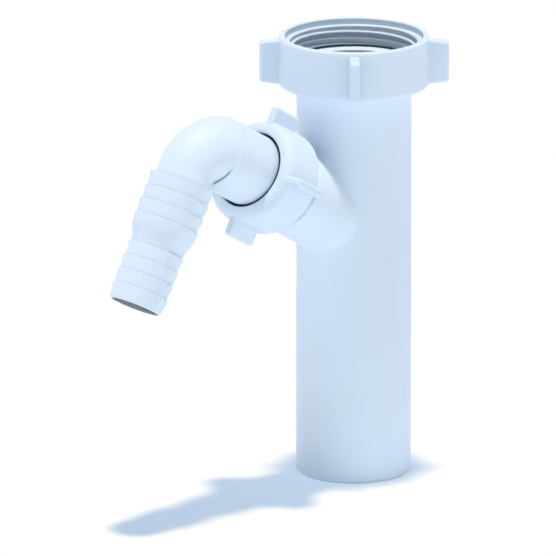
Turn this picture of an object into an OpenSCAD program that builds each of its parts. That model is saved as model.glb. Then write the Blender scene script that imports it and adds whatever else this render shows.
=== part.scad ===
// Washing machine waste tee: a plain tail with a captive winged nut at its inlet, a
// rising side branch, and a swivelling elbow with a stepped hose barb held on the
// branch by a winged union nut. Millimetres. The origin is the centre of the tail's
// plain end, +Z runs up the tail, and the branch leans towards -X.

/* [Tail] */
// Outside diameter of the spigot at the tail's lower end
spigot_od = 43; // [42.9:0.1:44]
// Length of the spigot
spigot_l = 70; // [50:1:74]
// Outside diameter of the tail above the spigot
tail_od = 42.8; // [42:0.1:42.8]
// Wall of the tail
tail_wall = 2.9; // [2:0.1:3.4]
// Height of the collar's top, where the inlet washer sits
seat_h = 155; // [145:1:200]
// Chamfer round the spigot's end
spigot_chamfer = 0.6; // [0.3:0.1:1.2]
// Length of the slope between spigot and tail
spigot_slope_l = 1; // [0.5:0.1:3]
// How far the collar that keeps the nut on stands out from the tail
collar_proud = 1; // [0.5:0.1:1.2]
// Thickness of the collar
collar_t = 3; // [2:0.1:4]

/* [Branch] */
// Diameter over the branch's thread
branch_thread_d = 33.25; // [33.1:0.05:33.6]
// How far the thread stands out from the branch behind it
branch_thread_proud = 0.625; // [0.4:0.025:1.2]
// Wall of the branch behind its thread
branch_wall = 2.6; // [2.2:0.1:4]
// Distance below the collar's top at which the branch's axis meets the tail's
branch_drop = 60.5; // [56:0.5:75]
// Rise of the branch above level, in degrees
branch_rise = 30; // [20:1:40]
// Distance from the tail's axis to the branch's mouth
mouth_reach = 56.5; // [54:0.5:65]
// Length of the threaded stretch behind the mouth
branch_thread_l = 11; // [8:0.5:13]
// Radius of the fillet between branch and tail
junction_fillet = 1.6; // [1:0.1:3]

/* [Inlet nut] */
// Overall height of the inlet nut
inlet_nut_h = 18.9; // [17:0.1:22]
// Diameter at the root of the nut's thread
inlet_thread_d = 47.8; // [47.4:0.1:48.6]
// Gap round the washer in the chamber behind the thread
inlet_chamber_gap = 0.4; // [0.2:0.1:0.8]
// Length of the chamber beyond the washer
inlet_chamber_extra = 0.2; // [0:0.1:1]
// Thickness of the lip that bears on the collar
inlet_lip_t = 3.35; // [2.5:0.05:4]
// Step from the thread's root out to the plain counterbore above it
inlet_mouth_step = 1.8; // [0.6:0.1:2.2]
// Depth of that counterbore
inlet_mouth_l = 2.4; // [1.5:0.1:3.5]
// Width of the rim round the counterbore
inlet_rim_w = 2.3; // [2:0.1:4]
// Rounding of the rim
inlet_rim_r = 0.8; // [0.4:0.1:1]
// Rounding under the nut
inlet_foot_r = 1.6; // [0.8:0.1:2.4]

/* [Inlet nut wings] */
// How far a wing stands out from the nut
inlet_wing_reach = 7.5; // [5:0.5:10]
// Thickness of a wing
inlet_wing_t = 4; // [3:0.1:5]
// Drop of a wing's root below the rim
inlet_wing_drop = 2.4; // [1.5:0.1:4]
// Rise of a wing's root above the nut's foot
inlet_wing_lift = 0.4; // [0.2:0.1:3]
// How much each end of a wing slopes in on its way out
inlet_wing_slope = 1.5; // [0:0.1:3]
// Angle from the branch's plane to the nearest wing
inlet_wing_turn = 45; // [0:5:90]

/* [Inlet washer] */
// Thickness of the inlet washer
inlet_washer_t = 2.5; // [1.5:0.1:3]
// How far the inlet washer reaches in past the tail's bore
inlet_washer_in = 1.1; // [0:0.1:2]
// How far the inlet washer stays in from the collar's edge
inlet_washer_edge = 0.1; // [0:0.1:0.8]

/* [Union nut] */
// Wall of the union nut round the branch's thread
union_nut_wall = 3.1; // [2.6:0.1:4.4]
// Length of the union nut
union_nut_l = 17; // [15.5:0.1:18]
// Thickness of the lip round the stem
union_lip_t = 2.9; // [2.5:0.1:3.5]
// Gap between the lip's hole and the stem
union_lip_gap = 0.95; // [0.4:0.05:1.2]
// Rounding of the nut's front
union_front_r = 4.4; // [2:0.1:4.5]
// Rounding of the nut's back edge
union_back_r = 0.5; // [0.3:0.1:1]
// Rounding of the lip's hole at the front
union_hole_edge_r = 0.8; // [0.2:0.1:0.9]

/* [Union nut wings] */
// How far a wing stands out from the nut
union_wing_reach = 5.7; // [3.5:0.1:7]
// Thickness of a wing
union_wing_t = 3.3; // [3:0.1:5]
// Distance of a wing's root from the nut's back
union_wing_back = 1.4; // [1:0.1:5]
// Distance of a wing's root from the nut's front
union_wing_front = 1.1; // [1:0.1:5]
// How much each end of a wing slopes in on its way out
union_wing_slope = 0.1; // [0:0.1:1.5]

/* [Wing edges] */
// Rounding of the edges of every wing
wing_edge_r = 1.2; // [0.6:0.1:1.4]

/* [Union washer] */
// Thickness of the union washer
union_washer_t = 2; // [1.5:0.1:2.5]
// Gap round the union washer and the elbow's flange in the union nut
union_seat_gap = 0.5; // [0.3:0.1:1]

/* [Elbow] */
// Thickness of the flange under the union nut's lip
elbow_flange_t = 2.45; // [2:0.05:3]
// Outside diameter of the stem
stem_d = 27.14; // [25:0.1:28]
// Wall of the stem
stem_wall = 2.3; // [2:0.1:3]
// Distance from the branch's mouth to the hose barb's axis
barb_out = 37.85; // [36:0.05:42]
// How far the stem's end passes the near side of the barb's neck
stem_past_neck = 0.85; // [0.2:0.05:1.4]
// Step from the stem down to the bend, at the inside of the elbow
bend_step = 1; // [0.2:0.1:1.5]
// Step from the stem down to the bend, at its sides
bend_side_step = 0.12; // [0.06:0.02:0.5]
// How early the bend narrows: 0 is evenly, 1 is mostly at its start
bend_early = 0.8; // [0:0.1:1]
// Radius of the crease inside the bend
bend_crease_r = 0.3; // [0.2:0.05:0.6]

/* [Hose barb] */
// Outside diameter of the plain neck behind the barbs
neck_d = 21.2; // [20.6:0.1:22]
// Wall of the hose barb at the low end of a slim barb
barb_tip_wall = 1.25; // [1:0.05:2.4]
// Distance from the stem's axis to the first barb
neck_reach = 15.9; // [15.2:0.1:18]
// Distance from one barb's shoulder to the next
barb_pitch = 5.36; // [4.5:0.02:6]
// Number of barbs for the wider hose
wide_barbs = 4; // [2:1:5]
// Number of barbs for the narrower hose
slim_barbs = 4; // [2:1:5]
// Diameter over the wide barbs' shoulders
wide_crest_d = 24.8; // [24:0.1:26]
// Diameter at the low end of a wide barb
wide_root_d = 23.2; // [22.6:0.1:23.9]
// Diameter over the slim barbs' shoulders
slim_crest_d = 21.4; // [20.6:0.1:22]
// Diameter at the low end of a slim barb
slim_root_d = 20; // [19.4:0.1:20.5]
// Length of the cone between the two sizes
step_cone_l = 1.6; // [1:0.1:3]
// Length of the last slim barb, which ends at the tip
last_barb_l = 6.2; // [5:0.1:8]
// Rounding of the barb's tip
tip_r = 1.1; // [0.4:0.1:1.2]

/* [Clearances] */
// Radial clearance of a nut that turns on what it holds
turn_gap = 0.08; // [0.04:0.01:0.1]
// Clearance between faces that turn or slide on each other
face_gap = 0.05; // [0.02:0.01:0.1]

/* [Hidden] */
$fn = 96;

// Facets round a wing's edges, and round the two skins that are swept
wing_fn = 24;
bend_sides = 48;
bend_steps = 14;
fillet_sides = 72;
fillet_steps = 5;
// How far a swept skin starts inside the solid it grows from, and how thin a sliver
// it keeps below that solid's surface, so that the two merge
lap = 1;
sink = 0.04;
// How much a round end that laps into the bend tapers, so that it stays inside
lap_taper = 0.5;
// Distance past a face that a cut runs
over = 1;

// Inlet, from the washer's seat outwards
tail_r = tail_od / 2;
tail_bore_r = tail_r - tail_wall;
collar_r = tail_r + collar_proud;
collar_foot_h = seat_h - collar_t;
inlet_washer_r = collar_r - inlet_washer_edge;
inlet_nut_foot_h = collar_foot_h - face_gap - inlet_lip_t;
inlet_rim_h = inlet_nut_foot_h + inlet_nut_h;
inlet_hole_r = tail_r + turn_gap;
inlet_thread_h = seat_h + inlet_washer_t + inlet_chamber_extra;
inlet_mouth_r = inlet_thread_d / 2 + inlet_mouth_step;
inlet_nut_r = inlet_mouth_r + inlet_rim_w;

// Branch
branch_h = seat_h - branch_drop;
branch_r = branch_thread_d / 2 - branch_thread_proud;
branch_bore_r = branch_r - branch_wall;

// Union, measured out along the branch's axis
union_washer_s = mouth_reach + face_gap;
elbow_flange_s = union_washer_s + union_washer_t + face_gap;
stem_s = elbow_flange_s + elbow_flange_t;
union_lip_s = stem_s + face_gap;
union_front_s = union_lip_s + union_lip_t;
union_back_s = union_front_s - union_nut_l;
union_bore_r = branch_thread_d / 2 + turn_gap;
union_nut_r = union_bore_r + union_nut_wall;
union_seat_r = union_bore_r - union_seat_gap;
union_hole_r = stem_d / 2 + union_lip_gap;
stem_bore_r = stem_d / 2 - stem_wall;
barb_reach = mouth_reach + barb_out;
stem_reach = barb_reach - neck_d / 2 + stem_past_neck;

// Bend: section planes fan out from a crease line at the inside of the elbow
crease_s = barb_reach - neck_d / 2 - bend_crease_r;
crease_t = stem_d / 2 - bend_step + bend_crease_r;
barb_bore_r = slim_root_d / 2 - barb_tip_wall;
barb_wall = neck_d / 2 - barb_bore_r;
bend_out_start = crease_t + stem_d / 2;
bend_out_end = neck_d + bend_crease_r;

// Barb: distances from the stem's axis
wide_end_t = neck_reach + wide_barbs * barb_pitch;
slim_start_t = wide_end_t + barb_pitch;
tip_t = slim_start_t + (slim_barbs - 1) * barb_pitch + last_barb_l;

// A value that runs from a to b, ahead of an even pace by bend_early
function eased(a, b, k) = a + (b - a) * k * (1 + bend_early - bend_early * k);

// Stands a child's Z axis on the branch's axis, with its -X side uppermost
module on_branch() {
    translate([0, 0, branch_h]) rotate([0, branch_rise - 90, 0]) children();
}

// Turns a child's Z axis onto the hose barb's axis, down from the stem's axis
module on_barb() {
    on_branch() translate([0, 0, barb_reach]) rotate([0, -90, 0]) children();
}

// Ring with a square section
module ring(r_in, r_out, h) {
    rotate_extrude() translate([r_in, 0]) square([r_out - r_in, h]);
}

// Joins rings of equal length, stacked from first to last, into a closed skin
module skin(rings) {
    n = len(rings[0]);
    last = len(rings) - 1;
    points = [for (r = rings) each r];
    sides = [
        for (i = [0 : last - 1], j = [0 : n - 1])
            let (k = (j + 1) % n)
            each [
                [i * n + j, (i + 1) * n + k, i * n + k],
                [i * n + j, (i + 1) * n + j, (i + 1) * n + k]
            ]
    ];
    start = [for (j = [0 : n - 1]) j];
    end = [for (j = [n - 1 : -1 : 0]) last * n + j];
    polyhedron(points, concat(sides, [start, end]), convexity = 4);
}

// Fillet between branch and tail, as rolled by a ball of the fillet's radius
function rise_dir() = [-cos(branch_rise), 0, sin(branch_rise)];
function over_dir() = [sin(branch_rise), 0, cos(branch_rise)];
function unit(v) = v / norm(v);
function ball_centre(turn) =
    let (
        r = branch_r + junction_fillet,
        y = r * sin(turn),
        x = -sqrt(pow(tail_r + junction_fillet, 2) - y * y),
        s = (x - r * cos(turn) * over_dir()[0]) / rise_dir()[0]
    )
    s * rise_dir() + r * cos(turn) * over_dir() + [0, y, 0] + [0, 0, branch_h];
function fillet_section(turn) =
    let (
        c = ball_centre(turn),
        to_tail = -unit([c[0], c[1], 0]),
        to_branch = -(cos(turn) * over_dir() + sin(turn) * [0, 1, 0]),
        angle = acos(to_tail * to_branch),
        square_to = unit(to_branch - (to_branch * to_tail) * to_tail),
        root = c + (junction_fillet + lap) / (1 + cos(angle)) * (to_tail + to_branch)
    )
    concat(
        [root, c + (junction_fillet + lap) * to_tail],
        [
            for (i = [0 : fillet_steps])
                let (a = angle * i / fillet_steps)
                c + (junction_fillet + sink) * (cos(a) * to_tail + sin(a) * square_to)
        ],
        [c + (junction_fillet + lap) * to_branch]
    );

module junction() {
    sections = [for (i = [0 : fillet_sides - 1]) fillet_section(i * 360 / fillet_sides)];
    n = len(sections[0]);
    points = [for (s = sections) each s];
    faces = [
        for (i = [0 : fillet_sides - 1], j = [0 : n - 1])
            let (i2 = (i + 1) % fillet_sides, j2 = (j + 1) % n)
            each [
                [i * n + j, i2 * n + j2, i2 * n + j],
                [i * n + j, i * n + j2, i2 * n + j2]
            ]
    ];
    polyhedron(points, faces, convexity = 6);
}

module tee_body() {
    color("aliceblue") difference() {
        union() {
            rotate_extrude() polygon([
                [0, 0],
                [spigot_od / 2 - spigot_chamfer, 0],
                [spigot_od / 2, spigot_chamfer],
                [spigot_od / 2, spigot_l],
                [tail_r, spigot_l + spigot_slope_l],
                [tail_r, collar_foot_h],
                [collar_r, collar_foot_h],
                [collar_r, seat_h],
                [0, seat_h]
            ]);
            on_branch() cylinder(h = mouth_reach, r = branch_r);
            on_branch() translate([0, 0, mouth_reach - branch_thread_l])
                cylinder(h = branch_thread_l, d = branch_thread_d);
            junction();
        }
        translate([0, 0, -over]) cylinder(h = seat_h + 2 * over, r = tail_bore_r);
        on_branch() cylinder(h = mouth_reach + over, r = branch_bore_r);
    }
}

module inlet_washer() {
    color("white") translate([0, 0, seat_h])
        ring(tail_bore_r - inlet_washer_in, inlet_washer_r, inlet_washer_t);
}

// Wing that stands out along +X: a plate with rounded edges whose ends slope in
module wing(root_r, tip_r, low, high, slope, thick) {
    e = wing_edge_r;
    hull() for (y = [-1, 1], up = [0, 1]) {
        translate([root_r, y * (thick / 2 - e), up ? high - e : low + e])
            sphere(r = e, $fn = wing_fn);
        translate([tip_r - e, y * (thick / 2 - e), up ? high - slope - e : low + slope + e])
            sphere(r = e, $fn = wing_fn);
    }
}

module inlet_nut() {
    r = inlet_nut_r;
    color("lightcyan") difference() {
        translate([0, 0, inlet_nut_foot_h]) union() {
            rotate_extrude() {
                difference() {
                    square([r, inlet_nut_h]);
                    translate([r - inlet_foot_r, 0])
                        square(inlet_foot_r);
                    translate([r - inlet_rim_r, inlet_nut_h - inlet_rim_r])
                        square(inlet_rim_r);
                }
                intersection() {
                    translate([r - inlet_foot_r, inlet_foot_r]) circle(inlet_foot_r);
                    square([r, inlet_foot_r]);
                }
                intersection() {
                    translate([r - inlet_rim_r, inlet_nut_h - inlet_rim_r]) circle(inlet_rim_r);
                    translate([0, inlet_nut_h - inlet_rim_r]) square([r, inlet_rim_r]);
                }
            }
            for (turn = [0 : 90 : 270]) rotate([0, 0, turn + inlet_wing_turn])
                wing(
                    r - 2 * wing_edge_r, r + inlet_wing_reach, inlet_wing_lift,
                    inlet_nut_h - inlet_wing_drop, inlet_wing_slope, inlet_wing_t
                );
        }
        translate([0, 0, inlet_nut_foot_h - over])
            cylinder(h = inlet_lip_t + 2 * over, r = inlet_hole_r);
        translate([0, 0, inlet_nut_foot_h + inlet_lip_t])
            cylinder(h = inlet_nut_h, r = inlet_washer_r + inlet_chamber_gap);
        translate([0, 0, inlet_thread_h]) cylinder(h = inlet_nut_h, d = inlet_thread_d);
        translate([0, 0, inlet_rim_h - inlet_mouth_l])
            cylinder(h = inlet_mouth_l + over, r = inlet_mouth_r);
    }
}

module union_washer() {
    color("gainsboro") on_branch() translate([0, 0, union_washer_s])
        ring(branch_bore_r, union_seat_r, union_washer_t);
}

module union_nut() {
    r = union_nut_r;
    color("azure") on_branch() difference() {
        translate([0, 0, union_back_s]) union() {
            rotate_extrude() {
                difference() {
                    square([r, union_nut_l]);
                    translate([r - union_back_r, 0]) square(union_back_r);
                    translate([r - union_front_r, union_nut_l - union_front_r])
                        square(union_front_r);
                }
                intersection() {
                    translate([r - union_back_r, union_back_r]) circle(union_back_r);
                    square([r, union_back_r]);
                }
                intersection() {
                    translate([r - union_front_r, union_nut_l - union_front_r])
                        circle(union_front_r);
                    translate([0, union_nut_l - union_front_r]) square([r, union_front_r]);
                }
            }
            for (turn = [0 : 90 : 270]) rotate([0, 0, turn])
                wing(
                    r - 2 * wing_edge_r, r + union_wing_reach, union_wing_back,
                    union_nut_l - union_wing_front, union_wing_slope, union_wing_t
                );
        }
        translate([0, 0, union_back_s - over])
            cylinder(h = union_lip_s - union_back_s + over, r = union_bore_r);
        translate([0, 0, union_back_s]) cylinder(h = union_nut_l + over, r = union_hole_r);
        translate([0, 0, union_front_s - union_hole_edge_r]) rotate_extrude() difference() {
            square([union_hole_r + union_hole_edge_r, union_hole_edge_r + over]);
            translate([union_hole_r + union_hole_edge_r, 0]) circle(union_hole_edge_r);
        }
    }
}

// One section of the bend: an ellipse in a plane through the crease line
function bend_ring(fan, near, far, half_w) = [
    for (j = [0 : bend_sides - 1])
        let (
            a = j * 360 / bend_sides,
            out = (near + far) / 2 + (far - near) / 2 * cos(a)
        )
        [out * cos(fan) - crease_t, half_w * sin(a), crease_s + out * sin(fan)]
];

// Circle round the stem's axis that starts the bend inside the stem
function stem_ring(r, s) = [
    for (j = [0 : bend_sides - 1])
        let (a = j * 360 / bend_sides)
        [r * cos(a), r * sin(a), s]
];

// The bend's skin, narrowed all round by a wall that runs from start_wall to end_wall
module bend(start_wall, end_wall, start_s) {
    fans = [
        for (i = [0 : bend_steps])
            let (
                k = i / bend_steps,
                wall = start_wall + (end_wall - start_wall) * k
            )
            bend_ring(
                90 * k,
                bend_crease_r + wall,
                eased(bend_out_start, bend_out_end, k) - wall,
                eased(stem_d / 2 - bend_side_step, neck_d / 2, k) - wall
            )
    ];
    skin(concat([stem_ring(stem_d / 2 - start_wall, start_s)], fans));
}

// Half outline of the stepped barb, from the neck down to the tip
function barb_outline() = concat(
    [
        [0, crease_t - lap],
        [neck_d / 2 - lap_taper, crease_t - lap],
        [neck_d / 2, crease_t],
        [neck_d / 2, neck_reach]
    ],
    [
        for (i = [0 : wide_barbs - 1])
            each [
                [wide_crest_d / 2, neck_reach + i * barb_pitch],
                [wide_root_d / 2, neck_reach + (i + 1) * barb_pitch]
            ]
    ],
    [[slim_crest_d / 2, wide_end_t + step_cone_l], [slim_root_d / 2, slim_start_t]],
    [
        for (i = [0 : slim_barbs - 2])
            each [
                [slim_crest_d / 2, slim_start_t + i * barb_pitch],
                [slim_root_d / 2, slim_start_t + (i + 1) * barb_pitch]
            ]
    ],
    [[slim_crest_d / 2, tip_t - last_barb_l]],
    [
        for (a = [0 : 15 : 90])
            [slim_root_d / 2 - tip_r * (1 - cos(a)), tip_t - tip_r * (1 - sin(a))]
    ],
    [[0, tip_t]]
);

module elbow() {
    color("lightblue") difference() {
        union() {
            on_branch() translate([0, 0, elbow_flange_s])
                cylinder(h = elbow_flange_t, r = union_seat_r);
            on_branch() translate([0, 0, elbow_flange_s])
                cylinder(h = stem_reach - elbow_flange_s, d = stem_d);
            on_branch() bend(sink, sink, crease_s - lap);
            on_barb() rotate_extrude() polygon(barb_outline());
        }
        on_branch() translate([0, 0, elbow_flange_s - over])
            cylinder(h = crease_s - elbow_flange_s, r = stem_bore_r);
        on_branch() bend(stem_wall + sink, barb_wall + sink, crease_s - 2 * over);
        on_barb() rotate_extrude() polygon([
            [0, crease_t - over],
            [barb_bore_r - lap_taper, crease_t - over],
            [barb_bore_r, crease_t],
            [barb_bore_r, tip_t + over],
            [0, tip_t + over]
        ]);
    }
}

tee_body();
inlet_washer();
inlet_nut();
union_washer();
elbow();
union_nut();
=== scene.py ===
"""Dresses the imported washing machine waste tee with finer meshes, threads, finishes and light.

Sizes of the part are in millimetres, as in its construction. A mesh is made in the frame of the
axis that it is turned about and is brought to metres, in the part's own frame, when it is placed.
"""

import logging
from dataclasses import dataclass, field
from enum import Enum
from math import acos, atan2, ceil, cos, pi, radians, sin, sqrt, tan
from typing import Any, Iterable, Sequence

import bmesh
import bpy
from mathutils import Matrix, Vector
from mathutils.bvhtree import BVHTree
from mathutils.interpolate import poly_3d_calc


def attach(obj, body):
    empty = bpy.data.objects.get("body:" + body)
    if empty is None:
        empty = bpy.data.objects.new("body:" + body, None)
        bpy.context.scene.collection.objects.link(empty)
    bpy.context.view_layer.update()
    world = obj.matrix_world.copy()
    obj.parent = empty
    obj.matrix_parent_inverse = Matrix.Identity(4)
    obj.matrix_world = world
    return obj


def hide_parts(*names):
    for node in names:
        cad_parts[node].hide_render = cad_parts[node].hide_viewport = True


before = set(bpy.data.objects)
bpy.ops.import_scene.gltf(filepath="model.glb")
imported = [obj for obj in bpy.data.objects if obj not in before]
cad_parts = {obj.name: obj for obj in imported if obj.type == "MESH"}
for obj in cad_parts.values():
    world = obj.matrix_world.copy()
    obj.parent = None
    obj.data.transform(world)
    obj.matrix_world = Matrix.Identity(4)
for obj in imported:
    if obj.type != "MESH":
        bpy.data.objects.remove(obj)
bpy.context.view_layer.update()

log = logging.getLogger("waste_tee")

MILLIMETRE = 0.001
SIDES = 160
ARC_STEP = radians(13)
SHARP_EDGE = radians(32)
OVER = 1.0
HEAL_REACHES = (1e-4, 1e-3, 3e-3)

Colour = tuple[float, float, float]
Corner = tuple[float, float, float]
Outline = list[tuple[float, float]]
Loop = list[Vector]


class Hand(Enum):
    """Side of its cylinder on which a thread's ridge stands."""

    OUTWARD = 1
    INWARD = -1


class Slot(Enum):
    """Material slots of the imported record."""

    BODY = "body_plastic"
    NUT = "nut_plastic"
    ELBOW = "elbow_plastic"
    WASHER = "washer_rubber"


class Wire:
    """An output socket that adds a Math node to its tree when it is used in a sum."""

    def __init__(self, tree: "Tree", socket: bpy.types.NodeSocket) -> None:
        """Keeps the tree and the socket.

        Args:
            tree: Tree that holds the socket's node.
            socket: Output socket that the wire starts from.
        """
        self.tree = tree
        self.socket = socket

    def _math(self, operation: str, first: Any, second: Any = 0.0) -> "Wire":
        """Adds a Math node and returns its result."""
        return self.tree.node("ShaderNodeMath", {"operation": operation}, {0: first, 1: second})

    def __add__(self, other: Any) -> "Wire":
        """Sum with a wire or number."""
        return self._math("ADD", self, other)

    def __radd__(self, other: Any) -> "Wire":
        """Sum with a number on the left."""
        return self._math("ADD", other, self)

    def __sub__(self, other: Any) -> "Wire":
        """Difference from a wire or number."""
        return self._math("SUBTRACT", self, other)

    def __rsub__(self, other: Any) -> "Wire":
        """Difference of a number and this wire."""
        return self._math("SUBTRACT", other, self)

    def __mul__(self, other: Any) -> "Wire":
        """Product with a wire or number."""
        return self._math("MULTIPLY", self, other)

    def __rmul__(self, other: Any) -> "Wire":
        """Product with a number on the left."""
        return self._math("MULTIPLY", other, self)

    def __truediv__(self, other: Any) -> "Wire":
        """Quotient by a wire or number."""
        return self._math("DIVIDE", self, other)

    def __mod__(self, other: Any) -> "Wire":
        """Remainder of a division, never below nought."""
        return self._math("FLOORED_MODULO", self, other)

    def at_least(self, other: Any) -> "Wire":
        """The greater of this wire and another value."""
        return self._math("MAXIMUM", self, other)

    def at_most(self, other: Any) -> "Wire":
        """The lesser of this wire and another value."""
        return self._math("MINIMUM", self, other)


class Tree:
    """Adds nodes to a shader tree or a Geometry Nodes tree."""

    def __init__(self, tree: bpy.types.NodeTree) -> None:
        """Starts on an empty or cleared tree.

        Args:
            tree: Node tree to fill.
        """
        self.tree = tree
        self.tree.nodes.clear()

    def node(
        self,
        kind: str,
        settings: dict[str, Any] | None = None,
        inputs: dict[str | int, Any] | None = None,
        output: str | int = 0,
    ) -> Wire | None:
        """Makes one node.

        Args:
            kind: Node type.
            settings: Properties, and the stops of a colour ramp, which are set first.
            inputs: Values or wires by socket name or index.
            output: Output socket to return.

        Returns:
            A wire from the output socket, or None if the node has none.
        """
        made = self.tree.nodes.new(kind)
        for name, value in (settings or {}).items():
            if name == "stops":
                self._set_stops(made.color_ramp, value)
            else:
                setattr(made, name, value)
        for key, value in (inputs or {}).items():
            if isinstance(value, Wire):
                self.tree.links.new(value.socket, made.inputs[key])
            else:
                made.inputs[key].default_value = value
        return Wire(self, made.outputs[output]) if made.outputs else None

    @staticmethod
    def _set_stops(ramp: bpy.types.ColorRamp, stops: Sequence[tuple[float, Colour]]) -> None:
        """Sets the stops of a colour ramp."""
        while len(ramp.elements) < len(stops):
            ramp.elements.new(1.0)
        for element, (position, colour) in zip(ramp.elements, stops):
            element.position = position
            element.color = (*colour, 1.0)


class GeometryTree(Tree):
    """A Geometry Nodes tree with named inputs, which makes one plain mesh."""

    def __init__(self, name: str, sizes: dict[str, str]) -> None:
        """Makes the tree's group and its sockets.

        Args:
            name: Name of the group.
            sizes: Socket type of each named input, besides the geometry and the material.
        """
        group = bpy.data.node_groups.new(name, "GeometryNodeTree")
        super().__init__(group)
        sockets = {"Geometry": "NodeSocketGeometry", **sizes, "Material": "NodeSocketMaterial"}
        for label, kind in sockets.items():
            group.interface.new_socket(label, in_out="INPUT", socket_type=kind)
        group.interface.new_socket("Geometry", in_out="OUTPUT", socket_type="NodeSocketGeometry")
        self._source = group.nodes.new("NodeGroupInput")

    def given(self, label: str) -> Wire:
        """Wire from one of the tree's own inputs."""
        return Wire(self, self._source.outputs[label])

    def finish(self, geometry: Wire) -> None:
        """Realizes the instances, sets the material and ends the tree."""
        real = self.node("GeometryNodeRealizeInstances", inputs={"Geometry": geometry})
        dressed = self.node(
            "GeometryNodeSetMaterial", inputs={"Geometry": real, "Material": self.given("Material")}
        )
        self.node("NodeGroupOutput", inputs={"Geometry": dressed})

    def run(self, shape: bpy.types.Object, sizes: dict[str, Any]) -> bpy.types.Object:
        """Runs the tree on a shape and keeps the result as a plain mesh.

        Args:
            shape: Object that carries the tree's geometry input.
            sizes: Value of each named input.

        Returns:
            The same object, with its new mesh and no modifier.
        """
        modifier = shape.modifiers.new(self.tree.name, "NODES")
        modifier.node_group = self.tree
        for item in self.tree.interface.items_tree:
            if item.in_out == "INPUT" and item.name in sizes:
                modifier[item.identifier] = sizes[item.name]
        return Shape.settle(shape)


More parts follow.
